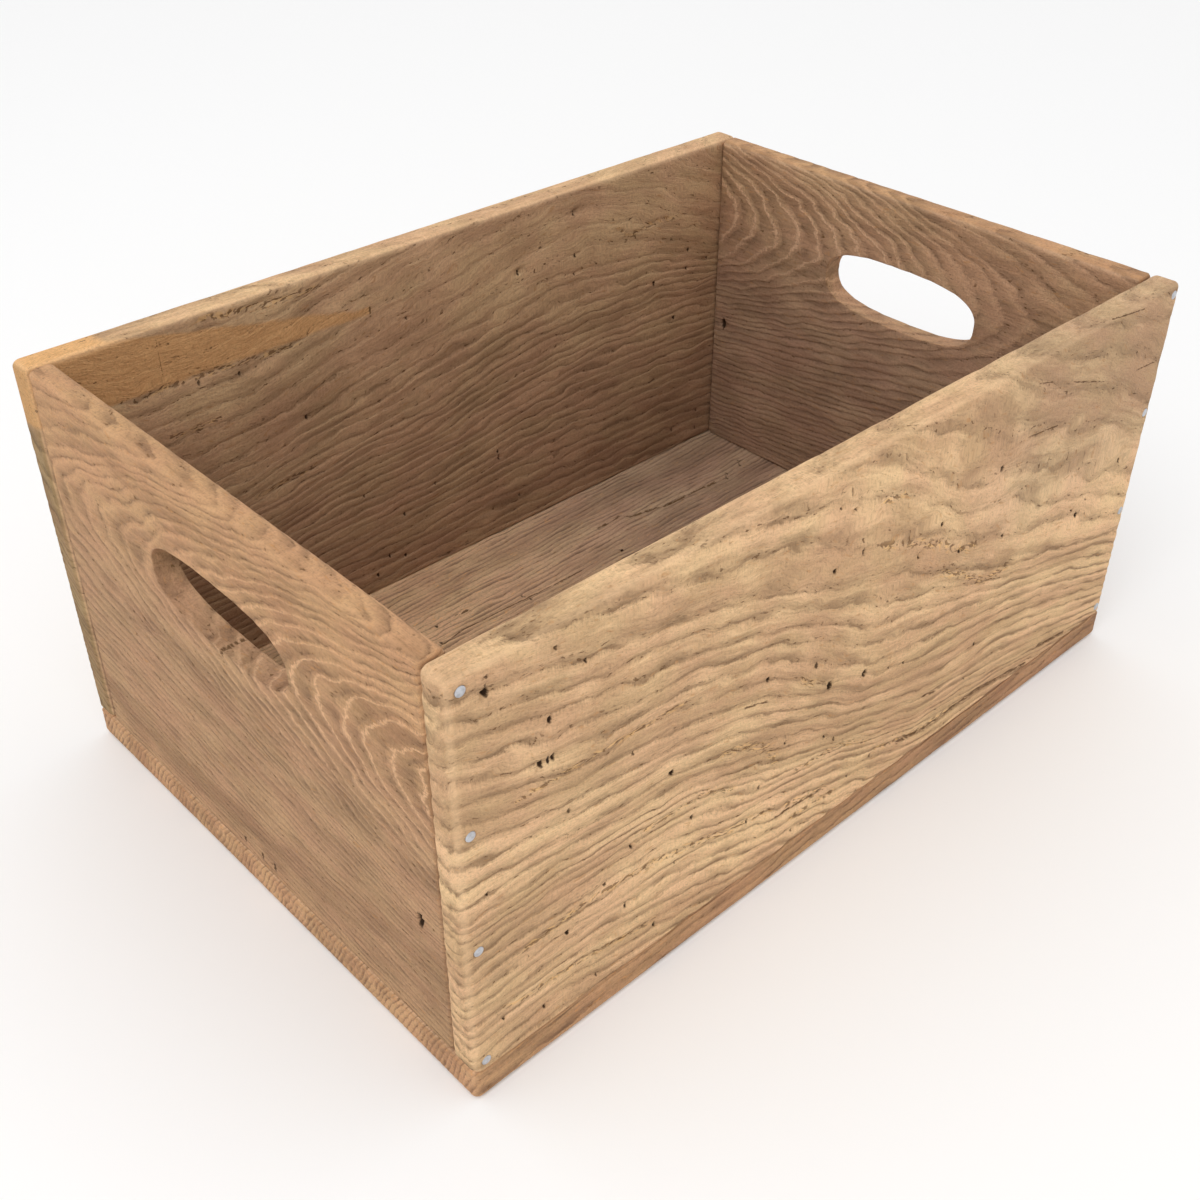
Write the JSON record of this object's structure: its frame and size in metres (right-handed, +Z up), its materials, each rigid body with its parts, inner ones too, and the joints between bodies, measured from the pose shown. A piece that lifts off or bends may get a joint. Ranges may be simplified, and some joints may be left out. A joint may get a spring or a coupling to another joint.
{
  "type": "wooden crate",
  "caption": "Open-topped nailed crate of thick reclaimed boards: side boards over slotted end boards on one bottom board, with a hand slot through each end.",
  "frame": {"origin": "centre of the underside, on the surface the crate stands on", "axes": "+X along the side boards towards the right end, -Y out of the front board, +Z up"},
  "size_m": [0.5, 0.339, 0.2365],
  "materials": {
    "side_wood": "weathered, unfinished, raised wavy grain",
    "end_wood": "weathered, unfinished, planed",
    "bottom_wood": "weathered, unfinished, greyed",
    "nail_steel": "dull bright wire"
  },
  "bodies": {
    "root": {"front_side": "side_wood", "back_side": "side_wood", "left_end": "end_wood", "right_end": "end_wood", "bottom_board": "bottom_wood", "front_left_nail_1": "nail_steel", "front_left_nail_2": "nail_steel", "front_left_nail_3": "nail_steel", "front_left_nail_4": "nail_steel", "front_right_nail_1": "nail_steel", "front_right_nail_2": "nail_steel", "front_right_nail_3": "nail_steel", "front_right_nail_4": "nail_steel", "back_left_nail_1": "nail_steel", "back_left_nail_2": "nail_steel", "back_left_nail_3": "nail_steel", "back_left_nail_4": "nail_steel", "back_right_nail_1": "nail_steel", "back_right_nail_2": "nail_steel", "back_right_nail_3": "nail_steel", "back_right_nail_4": "nail_steel", "bottom_front_nail_1": "nail_steel", "bottom_front_nail_2": "nail_steel", "bottom_front_nail_3": "nail_steel", "bottom_front_nail_4": "nail_steel", "bottom_front_nail_5": "nail_steel", "bottom_back_nail_1": "nail_steel", "bottom_back_nail_2": "nail_steel", "bottom_back_nail_3": "nail_steel", "bottom_back_nail_4": "nail_steel", "bottom_back_nail_5": "nail_steel", "bottom_left_nail_1": "nail_steel", "bottom_left_nail_2": "nail_steel", "bottom_left_nail_3": "nail_steel", "bottom_right_nail_1": "nail_steel", "bottom_right_nail_2": "nail_steel", "bottom_right_nail_3": "nail_steel"}
  },
  "joints": []
}
